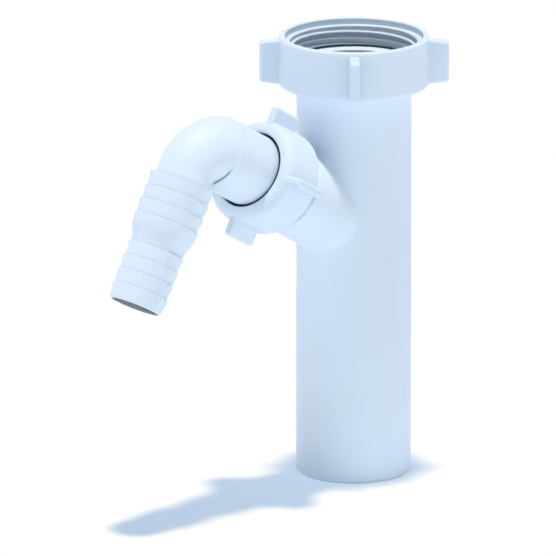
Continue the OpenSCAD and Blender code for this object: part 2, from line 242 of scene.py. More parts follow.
class Shape:
    """Makes and joins closed meshes, in millimetres about their own axis."""

    @staticmethod
    def keep(name: str, mesh: bpy.types.Mesh) -> bpy.types.Object:
        """Puts a mesh in the scene as an object at the origin."""
        made = bpy.data.objects.new(name, mesh)
        bpy.context.scene.collection.objects.link(made)
        return made

    @staticmethod
    def settle(shape: bpy.types.Object) -> bpy.types.Object:
        """Replaces an object's mesh by its evaluated one and removes its modifiers."""
        bpy.context.view_layer.update()
        graph = bpy.context.evaluated_depsgraph_get()
        mesh = bpy.data.meshes.new_from_object(shape.evaluated_get(graph), depsgraph=graph)
        shape.modifiers.clear()
        shape.data = mesh
        return shape

    @staticmethod
    def from_bmesh(name: str, work: bmesh.types.BMesh, merge: float = 1e-4) -> bpy.types.Object:
        """Merges doubles, turns faces outwards and smooths all but the sharp edges.

        Args:
            name: Name of the object.
            work: Mesh under construction, which is freed.
            merge: Distance under which points are one.

        Returns:
            The new object.
        """
        bmesh.ops.remove_doubles(work, verts=work.verts, dist=merge)
        bmesh.ops.dissolve_degenerate(work, edges=work.edges, dist=merge)
        loose = [edge for edge in work.edges if not edge.link_faces]
        bmesh.ops.delete(work, geom=loose, context="EDGES")
        bmesh.ops.recalc_face_normals(work, faces=work.faces)
        mesh = bpy.data.meshes.new(name)
        work.to_mesh(mesh)
        work.free()
        mesh.shade_smooth()
        mesh.set_sharp_from_angle(angle=SHARP_EDGE)
        return Shape.keep(name, mesh)

    @staticmethod
    def add_loops(work: bmesh.types.BMesh, loops: Sequence[Loop], caps: bool, closed: bool) -> None:
        """Stitches loops of points into a skin.

        Args:
            work: Mesh to add to.
            loops: Loops of equal length, from first to last.
            caps: Whether the first and last loops are filled.
            closed: Whether the last loop joins the first.
        """
        rows = [[work.verts.new(point) for point in loop] for loop in loops]
        count = len(loops[0])
        pairs = list(zip(rows, rows[1:])) + ([(rows[-1], rows[0])] if closed else [])
        for near, far in pairs:
            for i in range(count):
                j = (i + 1) % count
                work.faces.new((near[i], near[j], far[j], far[i]))
        if caps:
            work.faces.new(rows[0])
            work.faces.new(rows[-1])

    @staticmethod
    def loft(name: str, loops: Sequence[Loop], closed: bool = False) -> bpy.types.Object:
        """Closed skin over a stack or a ring of loops."""
        work = bmesh.new()
        Shape.add_loops(work, loops, caps=not closed, closed=closed)
        return Shape.from_bmesh(name, work)

    @staticmethod
    def lathe(
        name: str, outline: Outline, closed: bool = True, sides: int = SIDES
    ) -> bpy.types.Object:
        """Turns an outline about the Z axis.

        Args:
            name: Name of the object.
            outline: Radius and height of each point.
            closed: Whether the last point joins the first.
            sides: Number of sides round the axis.

        Returns:
            The turned object.
        """
        work = bmesh.new()
        loops = [circle(radius, height, sides) for radius, height in outline]
        Shape.add_loops(work, loops, caps=False, closed=closed)
        return Shape.from_bmesh(name, work)

    @staticmethod
    def joined(name: str, parts: Sequence[bpy.types.Object]) -> bpy.types.Object:
        """Merges open skins that meet at their rims into one."""
        work = bmesh.new()
        for part in parts:
            work.from_mesh(part.data)
            bpy.data.objects.remove(part)
        return Shape.from_bmesh(name, work, merge=1e-3)

    @staticmethod
    def combine(
        name: str,
        base: bpy.types.Object,
        added: Iterable[bpy.types.Object] = (),
        cut: Iterable[bpy.types.Object] = (),
    ) -> bpy.types.Object:
        """Joins and cuts closed shapes, and keeps the smooth shading that each one had.

        Args:
            name: Name of the result.
            base: Shape that the others are joined to.
            added: Shapes to join.
            cut: Shapes to take away.

        Returns:
            The combined object.
        """
        steps = [("UNION", shape) for shape in added] + [("DIFFERENCE", shape) for shape in cut]
        sources = [base] + [shape for _, shape in steps]
        for shape in sources:
            Shape.triangulate(shape)
        originals = [NormalSource(shape.data) for shape in sources]
        for number, (operation, shape) in enumerate(steps):
            modifier = base.modifiers.new(f"step_{number}", "BOOLEAN")
            modifier.operation = operation
            modifier.solver = "EXACT"
            modifier.object = shape
        Shape.settle(base)
        for _, shape in steps:
            bpy.data.objects.remove(shape)
        base.name = name
        base.data.name = name
        Shape.heal(base.data)
        borrow_normals(base.data, originals)
        return base

    @staticmethod
    def heal(mesh: bpy.types.Mesh) -> None:
        """Merges the slivers that a join leaves where two skins nearly touch."""
        work = bmesh.new()
        work.from_mesh(mesh)
        for reach in HEAL_REACHES:
            bmesh.ops.remove_doubles(work, verts=work.verts, dist=reach)
            bmesh.ops.dissolve_degenerate(work, edges=work.edges, dist=reach)
            open_edges = [edge for edge in work.edges if not edge.is_manifold]
            log.info("%s: %d open edges at %g", mesh.name, len(open_edges), reach)
            if not open_edges:
                break
        bmesh.ops.triangulate(work, faces=[face for face in work.faces if len(face.verts) > 4])
        work.to_mesh(mesh)
        work.free()

    @staticmethod
    def triangulate(shape: bpy.types.Object) -> None:
        """Splits a shape's faces, so that its surface and its shading are exact."""
        modifier = shape.modifiers.new("split", "TRIANGULATE")
        modifier.keep_custom_normals = True
        Shape.settle(shape)

    @staticmethod
    def place(shape: bpy.types.Object, where: Matrix) -> bpy.types.Object:
        """Brings a shape from its own axis, in millimetres, to the part's frame, in metres."""
        mesh = shape.data
        turn = where.to_3x3().normalized()
        normals = [turn @ corner.vector for corner in mesh.corner_normals]
        mesh.transform(Matrix.Scale(MILLIMETRE, 4) @ where)
        mesh.normals_split_custom_set(normals)
        mesh.update()
        return shape


class NormalSource:
    """The surface and the smooth normals of a shape before it was joined to others."""

    def __init__(self, mesh: bpy.types.Mesh) -> None:
        """Copies what is needed from a mesh of triangles.

        Args:
            mesh: Triangulated mesh.
        """
        self.points = [vertex.co.copy() for vertex in mesh.vertices]
        self.faces = [tuple(face.vertices) for face in mesh.polygons]
        corners = [corner.vector.copy() for corner in mesh.corner_normals]
        self.normals = [[corners[i] for i in face.loop_indices] for face in mesh.polygons]
        self.flat = [face.normal.copy() for face in mesh.polygons]
        self.tree = BVHTree.FromPolygons(self.points, self.faces)

    def nearest(self, point: Vector, facing: Vector) -> tuple[float, int]:
        """Distance to the surface, with a small penalty for another slope, and the face."""
        _, normal, face, distance = self.tree.find_nearest(point)
        return distance + 1e-3 * (1 - abs(normal.dot(facing))), face

    def normal(self, face: int, point: Vector, facing: Vector) -> Vector:
        """Smooth normal of a face at a point, on the side that faces a direction."""
        corners = [self.points[i] for i in self.faces[face]]
        weights = poly_3d_calc(corners, point)
        smooth = sum((w * n for w, n in zip(weights, self.normals[face])), Vector((0, 0, 0)))
        return smooth if self.flat[face].dot(facing) > 0 else -smooth


def borrow_normals(mesh: bpy.types.Mesh, sources: Sequence[NormalSource]) -> None:
    """Gives every corner of a combined mesh the normal of the shape that it came from.

    Args:
        mesh: Combined mesh.
        sources: Shapes that it was made from.
    """
    mesh.shade_smooth()
    normals: list[Vector] = [Vector((0, 0, 1))] * len(mesh.loops)
    for face in mesh.polygons:
        best, source = min(
            ((item.nearest(face.center, face.normal), item) for item in sources),
            key=lambda pair: pair[0][0],
        )
        for i in face.loop_indices:
            point = mesh.vertices[mesh.loops[i].vertex_index].co
            smooth = source.normal(best[1], point, face.normal)
            fits = smooth.length > 0.5 and smooth.normalized().dot(face.normal) > 0.2
            normals[i] = smooth.normalized() if fits else face.normal.copy()
    mesh.normals_split_custom_set(normals)
    mesh.update()


def circle(radius: float, height: float, sides: int = SIDES) -> Loop:
    """Loop of points round the Z axis."""
    step = 2 * pi / sides
    return [Vector((radius * cos(i * step), radius * sin(i * step), height)) for i in range(sides)]


def rounded(corners: Sequence[Corner]) -> Outline:
    """Outline of a closed polygon with rounded corners.

    Args:
        corners: Radius, height and rounding of each corner, in order.

    Returns:
        Radius and height of each point.
    """
    made: Outline = []
    for i, (x, y, rounding) in enumerate(corners):
        here = Vector((x, y))
        if not rounding:
            made.append((x, y))
            continue
        back = (Vector(corners[i - 1][:2]) - here).normalized()
        ahead = (Vector(corners[(i + 1) % len(corners)][:2]) - here).normalized()
        half = acos(max(-1.0, min(1.0, back.dot(ahead)))) / 2
        centre = here + (back + ahead).normalized() * (rounding / sin(half))
        start = here + back * (rounding / tan(half)) - centre
        turn = pi - 2 * half
        sign = 1 if back.x * ahead.y - back.y * ahead.x < 0 else -1
        steps = max(2, ceil(turn / ARC_STEP))
        angle = atan2(start.y, start.x)
        for k in range(steps + 1):
            a = angle + sign * turn * k / steps
            made.append((centre.x + rounding * cos(a), centre.y + rounding * sin(a)))
    return made


def thread_tree() -> GeometryTree:
    """Tree that sweeps a thread's ridge along a helix and fades it out at both ends."""
    tree = GeometryTree("thread_ridge", {
        "Radius": "NodeSocketFloat",
        "Pitch": "NodeSocketFloat",
        "Turns": "NodeSocketFloat",
        "Depth": "NodeSocketFloat",
        "Foot width": "NodeSocketFloat",
        "Crest width": "NodeSocketFloat",
        "Sink": "NodeSocketFloat",
        "Outward": "NodeSocketFloat",
        "Fade turns": "NodeSocketFloat",
        "Sides": "NodeSocketInt",
    })
    turns = tree.given("Turns")
    radius = tree.given("Radius")
    helix = tree.node("GeometryNodeCurveSpiral", inputs={
        "Resolution": tree.given("Sides"),
        "Rotations": turns,
        "Start Radius": radius,
        "End Radius": radius,
        "Height": tree.given("Pitch") * turns,
        "Reverse": True,
    })
    upright = tree.node("GeometryNodeSetCurveNormal", {"mode": "Z_UP"}, {"Curve": helix})
    share = tree.node("GeometryNodeSplineParameter")
    ends = share.at_most(1 - share) * turns / tree.given("Fade turns")
    sink = tree.given("Sink")
    height = tree.given("Depth") + sink
    section = tree.node("GeometryNodeCurvePrimitiveQuadrilateral", {"mode": "TRAPEZOID"}, {
        "Height": height,
        "Bottom Width": tree.given("Foot width"),
        "Top Width": tree.given("Crest width"),
        "Offset": 0.0,
    })
    lifted = tree.node("GeometryNodeTransform", inputs={
        "Geometry": section,
        "Translation": tree.node("ShaderNodeCombineXYZ", inputs={"Y": height * 0.5 - sink}),
    })
    facing = tree.node("ShaderNodeCombineXYZ", inputs={"Z": tree.given("Outward") * (-pi / 2)})
    turned = tree.node("GeometryNodeTransform", inputs={"Geometry": lifted, "Rotation": facing})
    ridge = tree.node("GeometryNodeCurveToMesh", inputs={
        "Curve": upright,
        "Profile Curve": turned,
        "Scale": ends.at_most(1.0).at_least(0.02),
        "Fill Caps": True,
    })
    tree.finish(ridge)
    return tree


def ring_tree() -> GeometryTree:
    """Tree that repeats a shape round the Z axis."""
    tree = GeometryTree("repeat_round_axis", {
        "Count": "NodeSocketInt",
        "Turn": "NodeSocketFloat",
    })
    count = tree.given("Count")
    points = tree.node("GeometryNodeMeshLine", inputs={"Count": count, "Offset": (0, 0, 0)})
    angle = tree.node("GeometryNodeInputIndex") * (2 * pi) / count + tree.given("Turn")
    copies = tree.node("GeometryNodeInstanceOnPoints", inputs={
        "Points": points,
        "Instance": tree.given("Geometry"),
        "Rotation": tree.node("ShaderNodeCombineXYZ", inputs={"Z": angle}),
    })
    tree.finish(copies)
    return tree


def row_tree() -> GeometryTree:
    """Tree that repeats a shape along the Z axis and merges the copies."""
    tree = GeometryTree("repeat_along_axis", {
        "Count": "NodeSocketInt",
        "Pitch": "NodeSocketFloat",
        "Start": "NodeSocketFloat",
    })
    points = tree.node("GeometryNodeMeshLine", inputs={
        "Count": tree.given("Count"),
        "Start Location": tree.node("ShaderNodeCombineXYZ", inputs={"Z": tree.given("Start")}),
        "Offset": tree.node("ShaderNodeCombineXYZ", inputs={"Z": tree.given("Pitch")}),
    })
    copies = tree.node("GeometryNodeInstanceOnPoints", inputs={
        "Points": points,
        "Instance": tree.given("Geometry"),
    })
    tree.finish(copies)
    return tree


@dataclass(frozen=True)
class Trees:
    """The three Geometry Nodes trees that the pieces share."""

    thread: GeometryTree = field(default_factory=thread_tree)
    ring: GeometryTree = field(default_factory=ring_tree)
    row: GeometryTree = field(default_factory=row_tree)


@dataclass(frozen=True)
class PaintedShade:
    """A stretch of a round waterway, gap or row of corners, whose walls get painted shade: darker, bluer and
    more matt.
    """

    origin: Colour
    axis: Colour
    radius: float
    start: float
    end: float
    inner: float = 0.0
    depth: float = 0.64
    softness: float = 0.25
    pitch: float = 0.0
    count: int = 1

    def mask(self, tree: Tree, place: Wire) -> Wire:
        """Share of painted shade: the depth inside the stretch and nought outside it, soft at the edge.

        Args:
            tree: Shader tree to add to.
            place: Object coordinates, in metres.

        Returns:
            The mask.
        """
        offset = self._vector(tree, "SUBTRACT", place, tuple(v * MILLIMETRE for v in self.origin), 0)
        station = self._vector(tree, "DOT_PRODUCT", offset, self.axis, 1) / MILLIMETRE
        reach = self._vector(tree, "DOT_PRODUCT", offset, offset, 1) / MILLIMETRE ** 2
        spread = reach - station * station
        within = (self.radius ** 2 - spread) / (2 * self.radius)
        if self.inner:
            within = within.at_most((spread - self.inner ** 2) / (2 * self.inner))
        along = station - self.start
        if self.pitch:
            within = within.at_most(along).at_most(self.count * self.pitch - along)
            along = along % self.pitch
        within = within.at_most(along).at_most(self.end - self.start - along)
        return (within / self.softness).at_least(0.0).at_most(1.0) * self.depth

    @staticmethod
    def _vector(tree: Tree, operation: str, first: Any, second: Any, output: int) -> Wire:
        """Adds a Vector Math node and returns its vector, output 0, or its value, output 1."""
        return tree.node("ShaderNodeVectorMath", {"operation": operation}, {0: first, 1: second}, output)


@dataclass(frozen=True)
class Moulding:
    """Finish of a moulded plastic or rubber surface."""

    name: str
    colour: Colour
    shade: Colour
    roughness: float
    roughness_spread: float
    grain_height: float
    seed: float
    ior: float = 1.49
    # Stretches of painted shade: bores, gaps, a crease and barb shoulders drawn darker.
    painted_shades: tuple[PaintedShade, ...] = ()
    # Darkest level of the painted shade, as a share of the base colour.
    painted_shade_level: float = 0.10
    mottle_scale: float = 34.0
    flow_scale: float = 90.0
    grain_scale: float = 1500.0
    ripple_scale: float = 260.0
    ripple_share: float = 0.5

    def material(self) -> bpy.types.Material:
        """Material with cloudy tint, flow marks in its gloss, a fine mould grain and painted shade in its
        hollows.

        Returns:
            The new material.
        """
        made = bpy.data.materials.new(self.name)
        made.use_nodes = True
        tree = Tree(made.node_tree)
        place = tree.node("ShaderNodeTexCoord", output="Object")
        cloud = self._noise(tree, place, self.mottle_scale, 3.0)
        along = tree.node("ShaderNodeMapping", inputs={"Vector": place, "Scale": (1.0, 1.0, 0.22)})
        flow = self._noise(tree, along, self.flow_scale, 4.0)
        grain = self._noise(tree, place, self.grain_scale, 2.0)
        ripple = self._noise(tree, place, self.ripple_scale, 2.0)
        tint = tree.node("ShaderNodeMix", {"data_type": "RGBA"}, {
            "Factor": (cloud * 0.7 + flow * 0.3) * 1.6 - 0.3,
            6: (*self.colour, 1.0),
            7: (*self.shade, 1.0),
        }, output=2)
        # Painted shade: the base colour is multiplied towards a dark bluish tint inside the hollows.
        painted_shade = self._painted_shade_share(tree, place)
        tint = tree.node("ShaderNodeMix", {"data_type": "RGBA", "blend_type": "MULTIPLY"}, {
            "Factor": painted_shade,
            6: tint,
            7: (*(self.painted_shade_level * level for level in PAINTED_SHADE_TINT), 1.0),
        }, output=2)
        # The painted-shade stretches are also made more matt.
        gloss = self.roughness + (flow * 0.6 + grain * 0.4 - 0.5) * self.roughness_spread + painted_shade * 0.2
        bump = tree.node("ShaderNodeBump", inputs={
            "Strength": 1.0,
            "Distance": self.grain_height,
            "Height": grain + ripple * self.ripple_share,
        })
        shader = tree.node("ShaderNodeBsdfPrincipled", inputs={
            "Base Color": tint,
            "Roughness": gloss,
            "IOR": self.ior,
            "Normal": bump,
        })
        tree.node("ShaderNodeOutputMaterial", inputs={"Surface": shader})
        return made

    def _painted_shade_share(self, tree: Tree, place: Wire) -> Wire | float:
        """Greatest of the painted-shade masks of the finish's hollows."""
        share: Wire | float = 0.0
        for shade_band in self.painted_shades:
            mask = shade_band.mask(tree, place)
            share = mask.at_least(share)
        return share

    def _noise(self, tree: Tree, place: Wire, scale: float, detail: float) -> Wire:
        """Noise of the finish's own seed."""
        return tree.node("ShaderNodeTexNoise", {"noise_dimensions": "4D"}, {
            "Vector": place,
            "W": self.seed,
            "Scale": scale,
            "Detail": detail,
            "Roughness": 0.55,
        }, output="Fac")


# Tint of the painted shade, scaled down by the shade level.
PAINTED_SHADE_TINT = (0.67, 1.0, 1.26)
UPRIGHT = (0.0, 0.0, 1.0)
BRANCH_FOOT = (0.0, 0.0, 94.5)
BRANCH_AXIS = (-cos(radians(30)), 0.0, sin(radians(30)))
BARB_FOOT = tuple(foot + 94.35 * way for foot, way in zip(BRANCH_FOOT, BRANCH_AXIS))
BARB_AXIS = (-sin(radians(30)), 0.0, -cos(radians(30)))
CREASE_FOOT = tuple(foot + 10.0 * way for foot, way in zip(BRANCH_FOOT, BARB_AXIS))

FINISHES = {
    Slot.BODY: Moulding(
        "body_polypropylene", (0.710, 0.805, 0.900), (0.680, 0.782, 0.886), 0.56, 0.10, 1.2e-5, 1.7,
        # Painted shade down the tail's bore.
        painted_shades=(PaintedShade((0.0, 0.0, 0.0), UPRIGHT, 18.95, -1.0, 154.9),),
    ),
    Slot.NUT: Moulding(
        "nut_polypropylene", (0.700, 0.797, 0.893), (0.676, 0.777, 0.880), 0.55, 0.10, 1.2e-5, 5.3,
        painted_shades=(
            # Painted shade on the inlet nut's mouth wall, thread grooves and chamber.
            PaintedShade((0.0, 0.0, 148.6), UPRIGHT, 25.95, 16.6, 18.7, inner=25.5, depth=0.26, softness=0.1),
            PaintedShade((0.0, 0.0, 148.6), UPRIGHT, 24.3, 9.1, 16.4, inner=23.3, depth=0.42),
            PaintedShade((0.0, 0.0, 148.6), UPRIGHT, 23.2, 3.0, 9.1, inner=21.8),
            # Painted shadow, near black, where the inlet washer meets the thread.
            PaintedShade((0.0, 0.0, 148.6), UPRIGHT, 24.3, 8.8, 9.3, inner=22.3, depth=1.0, softness=0.12),
            # Painted shadow, near black, inside the union nut's bore and hole, round the elbow's stem.
            PaintedShade(BRANCH_FOOT, BRANCH_AXIS, 15.2, 47.5, 63.0, depth=1.0, softness=0.7),
        ),
    ),
    Slot.ELBOW: Moulding(
        "elbow_polypropylene", (0.725, 0.818, 0.905), (0.697, 0.797, 0.892), 0.56, 0.10, 1.0e-5, 9.1,
        painted_shades=(
            # Painted shadow, near black, on the elbow's flange and stem inside the union nut.
            PaintedShade(BRANCH_FOOT, BRANCH_AXIS, 17.5, 58.0, 63.4, depth=1.0),
            # Painted shade down the barb's bore.
            PaintedShade(BARB_FOOT, BARB_AXIS, 9.3, 20.0, 80.0),
            # Painted shade line along the crease between stem and bend.
            PaintedShade(CREASE_FOOT, BRANCH_AXIS, 12.2, 84.4, 84.9, depth=0.45, softness=0.15),
            # Painted shade lines at the foot of each barb's shoulder.
            PaintedShade(BARB_FOOT, BARB_AXIS, 13.0, 15.45, 16.05, depth=0.16, softness=0.25, pitch=5.36, count=4),
            PaintedShade(BARB_FOOT, BARB_AXIS, 13.0, 42.25, 42.85, depth=0.16, softness=0.25, pitch=5.36, count=4),
        ),
    ),
    Slot.WASHER: Moulding(
        "washer_rubber", (0.870, 0.925, 0.940), (0.835, 0.895, 0.920), 0.55, 0.10, 2.0e-5, 3.9, 1.52
    ),
}


@dataclass(frozen=True)
class Thread:
    """A right-handed thread of the pipe series."""

    radius: float
    start: float
    end: float
    depth: float
    foot: float
    crest: float
    hand: Hand
    phase: float = 0.0
    pitch: float = 2.309
    sink: float = 0.12
    fade_turns: float = 0.35
    sides: int = 96

    def ridge(self, trees: Trees) -> bpy.types.Object:
        """Closed ridge that winds up the Z axis.

        Args:
            trees: Shared Geometry Nodes trees.

        Returns:
            The ridge, from the height start to the height end.
        """
        shape = Shape.keep("ridge", bpy.data.meshes.new("ridge"))
        trees.thread.run(shape, {
            "Radius": self.radius,
            "Pitch": self.pitch,
            "Turns": (self.end - self.start) / self.pitch,
            "Depth": self.depth,
            "Foot width": self.foot,
            "Crest width": self.crest,
            "Sink": self.sink,
            "Outward": float(self.hand.value),
            "Fade turns": self.fade_turns,
            "Sides": self.sides,
        })
        work = bmesh.new()
        work.from_mesh(shape.data)
        bpy.data.objects.remove(shape)
        turn = Matrix.Rotation(self.phase, 4, "Z")
        bmesh.ops.transform(work, verts=work.verts, matrix=Matrix.Translation((0, 0, self.start)) @ turn)
        return Shape.from_bmesh("ridge", work)


@dataclass(frozen=True)
class Wings:
    """Four flat wings of a nut, with rounded edges and ends that slope in."""

    root: float
    span: float
    thickness: float
    low: float
    high: float
    slope: float
    turn: float
    count: int = 4
    edge: float = 1.2
    edge_segments: int = 5

    def make(self, trees: Trees) -> bpy.types.Object:
        """Builds one wing along +X and repeats it round the axis.

        Args:
            trees: Shared Geometry Nodes trees.

        Returns:
            All wings, as closed shapes.
        """
        half = self.thickness / 2
        tip = self.span / 2
        loops = [
            [Vector((x, y, z)) for y, z in (
                (-half, low), (half, low), (half, high), (-half, high)
            )]
            for x, low, high in (
                (self.root - self.edge, self.low, self.high),
                (tip, self.low + self.slope, self.high - self.slope),
            )
        ]
        wing = Shape.loft("wing", loops)
        bevel = wing.modifiers.new("edges", "BEVEL")
        bevel.limit_method = "NONE"
        bevel.width = self.edge
        bevel.segments = self.edge_segments
        bevel.harden_normals = True
        Shape.settle(wing)
        return trees.ring.run(wing, {"Count": self.count, "Turn": self.turn})


@dataclass
class Piece:
    """One moulded piece: what it replaces, what it rides on and its finish."""

    trees: Trees
    name: str
    node: str
    body: str
    slot: Slot

    def build(self) -> bpy.types.Object:
        """Makes the piece's mesh in the part's frame."""
        raise NotImplementedError

    def dress(self) -> bpy.types.Object:
        """Builds the piece, gives it its finish, hides the imported node and hangs it on its body.

        Returns:
            The finished object.
        """
        made = self.build()
        made.data.materials.clear()
        made.data.materials.append(FINISHES[self.slot].material())
        for face in made.data.polygons:
            face.material_index = 0
        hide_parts(self.node)
        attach(made, self.body)
        log.info("%s: %d faces on %s", made.name, len(made.data.polygons), self.body)
        return made


@dataclass(frozen=True)
class BranchLine:
    """The branch's axis and the stations along it, from the tail's axis outwards."""

    height: float = 94.5
    rise: float = radians(30)
    mouth: float = 56.5
    face_gap: float = 0.05
    washer_thickness: float = 2.0
    washer_hole: float = 13.4
    seat_radius: float = 16.2

    @property
    def axis(self) -> Vector:
        """Direction out along the branch."""
        return Vector((-cos(self.rise), 0, sin(self.rise)))

    @property
    def across(self) -> Vector:
        """Direction square to the branch, upwards in its plane."""
        return Vector((sin(self.rise), 0, cos(self.rise)))

    @property
    def frame(self) -> Matrix:
        """Stands the Z axis on the branch, with -X uppermost."""
        return Matrix.Translation((0, 0, self.height)) @ Matrix.Rotation(self.rise - pi / 2, 4, "Y")

    @property
    def washer(self) -> float:
        """Station of the union washer's inner face."""
        return self.mouth + self.face_gap

    @property
    def flange(self) -> float:
        """Station of the elbow flange's inner face."""
        return self.washer + self.washer_thickness + self.face_gap


LINE = BranchLine()


@dataclass
class TeeBody(Piece):
    """Tail, collar and rising branch, moulded as one."""

    spigot_radius: float = 21.5
    spigot_length: float = 70.0
    tail_radius: float = 21.4
    bore_radius: float = 18.5
    seat_height: float = 155.0
    end_chamfer: float = 0.6
    collar_radius: float = 22.4
    collar_thickness: float = 3.0
    branch_radius: float = 16.0
    branch_bore: float = 13.4
    thread_crest: float = 16.625
    thread_length: float = 14.7
    thread_depth: float = 1.45
    edge_rounding: float = 0.35
    fillet: float = 1.6
    fillet_sides: int = 160
    fillet_steps: int = 10
    skin_depth: float = 0.004
    lap: float = 1.0

    def build(self) -> bpy.types.Object:
        """Joins tail, branch, fillet and thread, and cuts the two bores."""
        branch = LINE.frame
        thread_root = self.thread_crest - self.thread_depth
        thread_start = LINE.mouth - self.thread_length
        stub = Shape.lathe("branch_stub", rounded([
            (0, 0, 0),
            (self.branch_radius, 0, 0),
            (self.branch_radius, thread_start, self.edge_rounding),
            (thread_root, thread_start, 0),
            (thread_root, LINE.mouth, self.edge_rounding),
            (0, LINE.mouth, 0),
        ]))
        ridge = Thread(
            thread_root, thread_start + 1.0, LINE.mouth - 0.9, self.thread_depth, 1.8, 0.4, Hand.OUTWARD
        ).ridge(self.trees)
        bore = Shape.lathe("branch_bore", [
            (0, 0),
            (self.branch_bore, 0),
            (self.branch_bore, LINE.mouth - self.edge_rounding),
            (self.branch_bore + self.edge_rounding + OVER, LINE.mouth + OVER),
            (0, LINE.mouth + OVER),
        ])
        for shape in (stub, ridge, bore):
            shape.data.transform(branch)
        body = Shape.combine(
            self.name, self.tail(), added=(stub, self.junction(), ridge), cut=(self.tail_bore(), bore)
        )
        return Shape.place(body, Matrix.Identity(4))

    def tail(self) -> bpy.types.Object:
        """Solid tail with its spigot and collar."""
        collar_foot = self.seat_height - self.collar_thickness
        return Shape.lathe("tail", rounded([
            (0, 0, 0),
            (self.spigot_radius - self.end_chamfer, 0, self.edge_rounding / 2),
            (self.spigot_radius, self.end_chamfer, self.edge_rounding),
            (self.spigot_radius, self.spigot_length, 0),
            (self.tail_radius, self.spigot_length + 1, 0),
            (self.tail_radius, collar_foot, 0),
            (self.collar_radius, collar_foot, 0),
            (self.collar_radius, self.seat_height, self.edge_rounding),
            (0, self.seat_height, 0),
        ]))

    def tail_bore(self) -> bpy.types.Object:
        """Bore through the tail, eased at both ends."""
        r, ease = self.bore_radius, self.edge_rounding
        return Shape.lathe("tail_bore", [
            (0, -OVER),
            (r + ease + OVER, -OVER),
            (r, ease),
            (r, self.seat_height - ease),
            (r + ease + OVER, self.seat_height + OVER),
            (0, self.seat_height + OVER),
        ])

    def junction(self) -> bpy.types.Object:
        """Fillet between branch and tail, as rolled by a ball."""
        step = 2 * pi / self.fillet_sides
        return Shape.loft(
            "fillet", [self.fillet_section(i * step) for i in range(self.fillet_sides)], closed=True
        )

    def ball_centre(self, turn: float) -> Vector:
        """Centre of the rolling ball where it touches the branch at an angle round its axis.

        Args:
            turn: Angle round the branch's axis, from its upper side.

        Returns:
            The centre, which is as far from the tail as from the branch.
        """
        reach = self.branch_radius + self.fillet
        y = reach * sin(turn)
        x = -sqrt((self.tail_radius + self.fillet) ** 2 - y * y)
        out = (x - reach * cos(turn) * LINE.across.x) / LINE.axis.x
        return (
            out * LINE.axis + reach * cos(turn) * LINE.across
            + Vector((0, y, LINE.height))
        )

    def fillet_section(self, turn: float) -> Loop:
        """Section of the fillet: its arc, and a root that lies inside both walls.

        Args:
            turn: Angle round the branch's axis, from its upper side.

        Returns:
            Points round the section.
        """
        centre = self.ball_centre(turn)
        to_tail = -Vector((centre.x, centre.y, 0)).normalized()
        to_branch = -(cos(turn) * LINE.across + Vector((0, sin(turn), 0)))
        angle = to_tail.angle(to_branch)
        square = (to_branch - to_branch.dot(to_tail) * to_tail).normalized()
        deep = self.fillet + self.lap
        shallow = self.fillet + self.skin_depth
        arc = [
            centre + shallow * (cos(a) * to_tail + sin(a) * square)
            for a in (angle * i / self.fillet_steps for i in range(self.fillet_steps + 1))
        ]
        root = centre + deep / (1 + cos(angle)) * (to_tail + to_branch)
        return [root, centre + deep * to_tail, *arc, centre + deep * to_branch]


@dataclass
class InletWasher(Piece):
    """Flat sealing ring on the collar, inside the inlet nut."""

    seat_height: float = 155.0
    thickness: float = 2.5
    hole_radius: float = 17.4
    radius: float = 22.3
    edge_rounding: float = 0.3

    def build(self) -> bpy.types.Object:
        """Turns the ring."""
        return washer(
            self.name, self.hole_radius, self.radius, self.thickness, self.edge_rounding,
            Matrix.Translation((0, 0, self.seat_height)),
        )


@dataclass
class UnionWasher(Piece):
    """Flat sealing ring between the branch's mouth and the elbow's flange."""

    edge_rounding: float = 0.25

    def build(self) -> bpy.types.Object:
        """Turns the ring."""
        return washer(
            self.name, LINE.washer_hole, LINE.seat_radius, LINE.washer_thickness, self.edge_rounding,
            LINE.frame @ Matrix.Translation((0, 0, LINE.washer)),
        )


def washer(
    name: str, hole: float, radius: float, thickness: float, rounding: float, where: Matrix
) -> bpy.types.Object:
    """Flat ring with rounded edges.

    Args:
        name: Name of the object.
        hole: Radius of the hole.
        radius: Outside radius.
        thickness: Height of the ring.
        rounding: Radius of its four edges.
        where: Place of its lower face's centre.

    Returns:
        The placed ring.
    """
    ring = Shape.lathe(name, rounded([
        (hole, 0, rounding), (radius, 0, rounding),
        (radius, thickness, rounding), (hole, thickness, rounding),
    ]))
    return Shape.place(ring, where)


@dataclass
class InletNut(Piece):
    """Captive nut with four wings, which screws the inlet to a waste."""

    foot_height: float = 148.6
    height: float = 18.9
    radius: float = 28.0
    hole_radius: float = 21.48
    lip_thickness: float = 3.35
    chamber_radius: float = 22.7
    chamber_end: float = 9.1
    thread_radius: float = 23.9
    thread_depth: float = 1.3
    mouth_radius: float = 25.7
    mouth_depth: float = 2.4
    rim_rounding: float = 0.8
    foot_rounding: float = 1.6
    small_rounding: float = 0.3

    def build(self) -> bpy.types.Object:
        """Joins the turned shell, its wings and its thread."""
        small, top = self.small_rounding, self.height
        ledge = top - self.mouth_depth
        shell = Shape.lathe("nut_shell", rounded([
            (self.hole_radius, 0, small),
            (self.radius, 0, self.foot_rounding),
            (self.radius, top, self.rim_rounding),
            (self.mouth_radius, top, small),
            (self.mouth_radius, ledge, small),
            (self.thread_radius, ledge, small),
            (self.thread_radius, self.chamber_end, 0),
            (self.chamber_radius, self.chamber_end, 0),
            (self.chamber_radius, self.lip_thickness, 0),
            (self.hole_radius, self.lip_thickness, 0),
        ]))
        wings = Wings(
            root=self.radius - 0.4, span=70.4, thickness=4.0, low=0.25, high=top - 1.15, slope=1.0,
            turn=radians(45),
        ).make(self.trees)
        ridge = Thread(
            self.thread_radius, self.chamber_end + 0.1, ledge - 0.1, self.thread_depth, 1.1, 0.35,
            Hand.INWARD, phase=radians(-41),
        ).ridge(self.trees)
        nut = Shape.combine(self.name, shell, added=(wings, ridge))
        return Shape.place(nut, Matrix.Translation((0, 0, self.foot_height)))


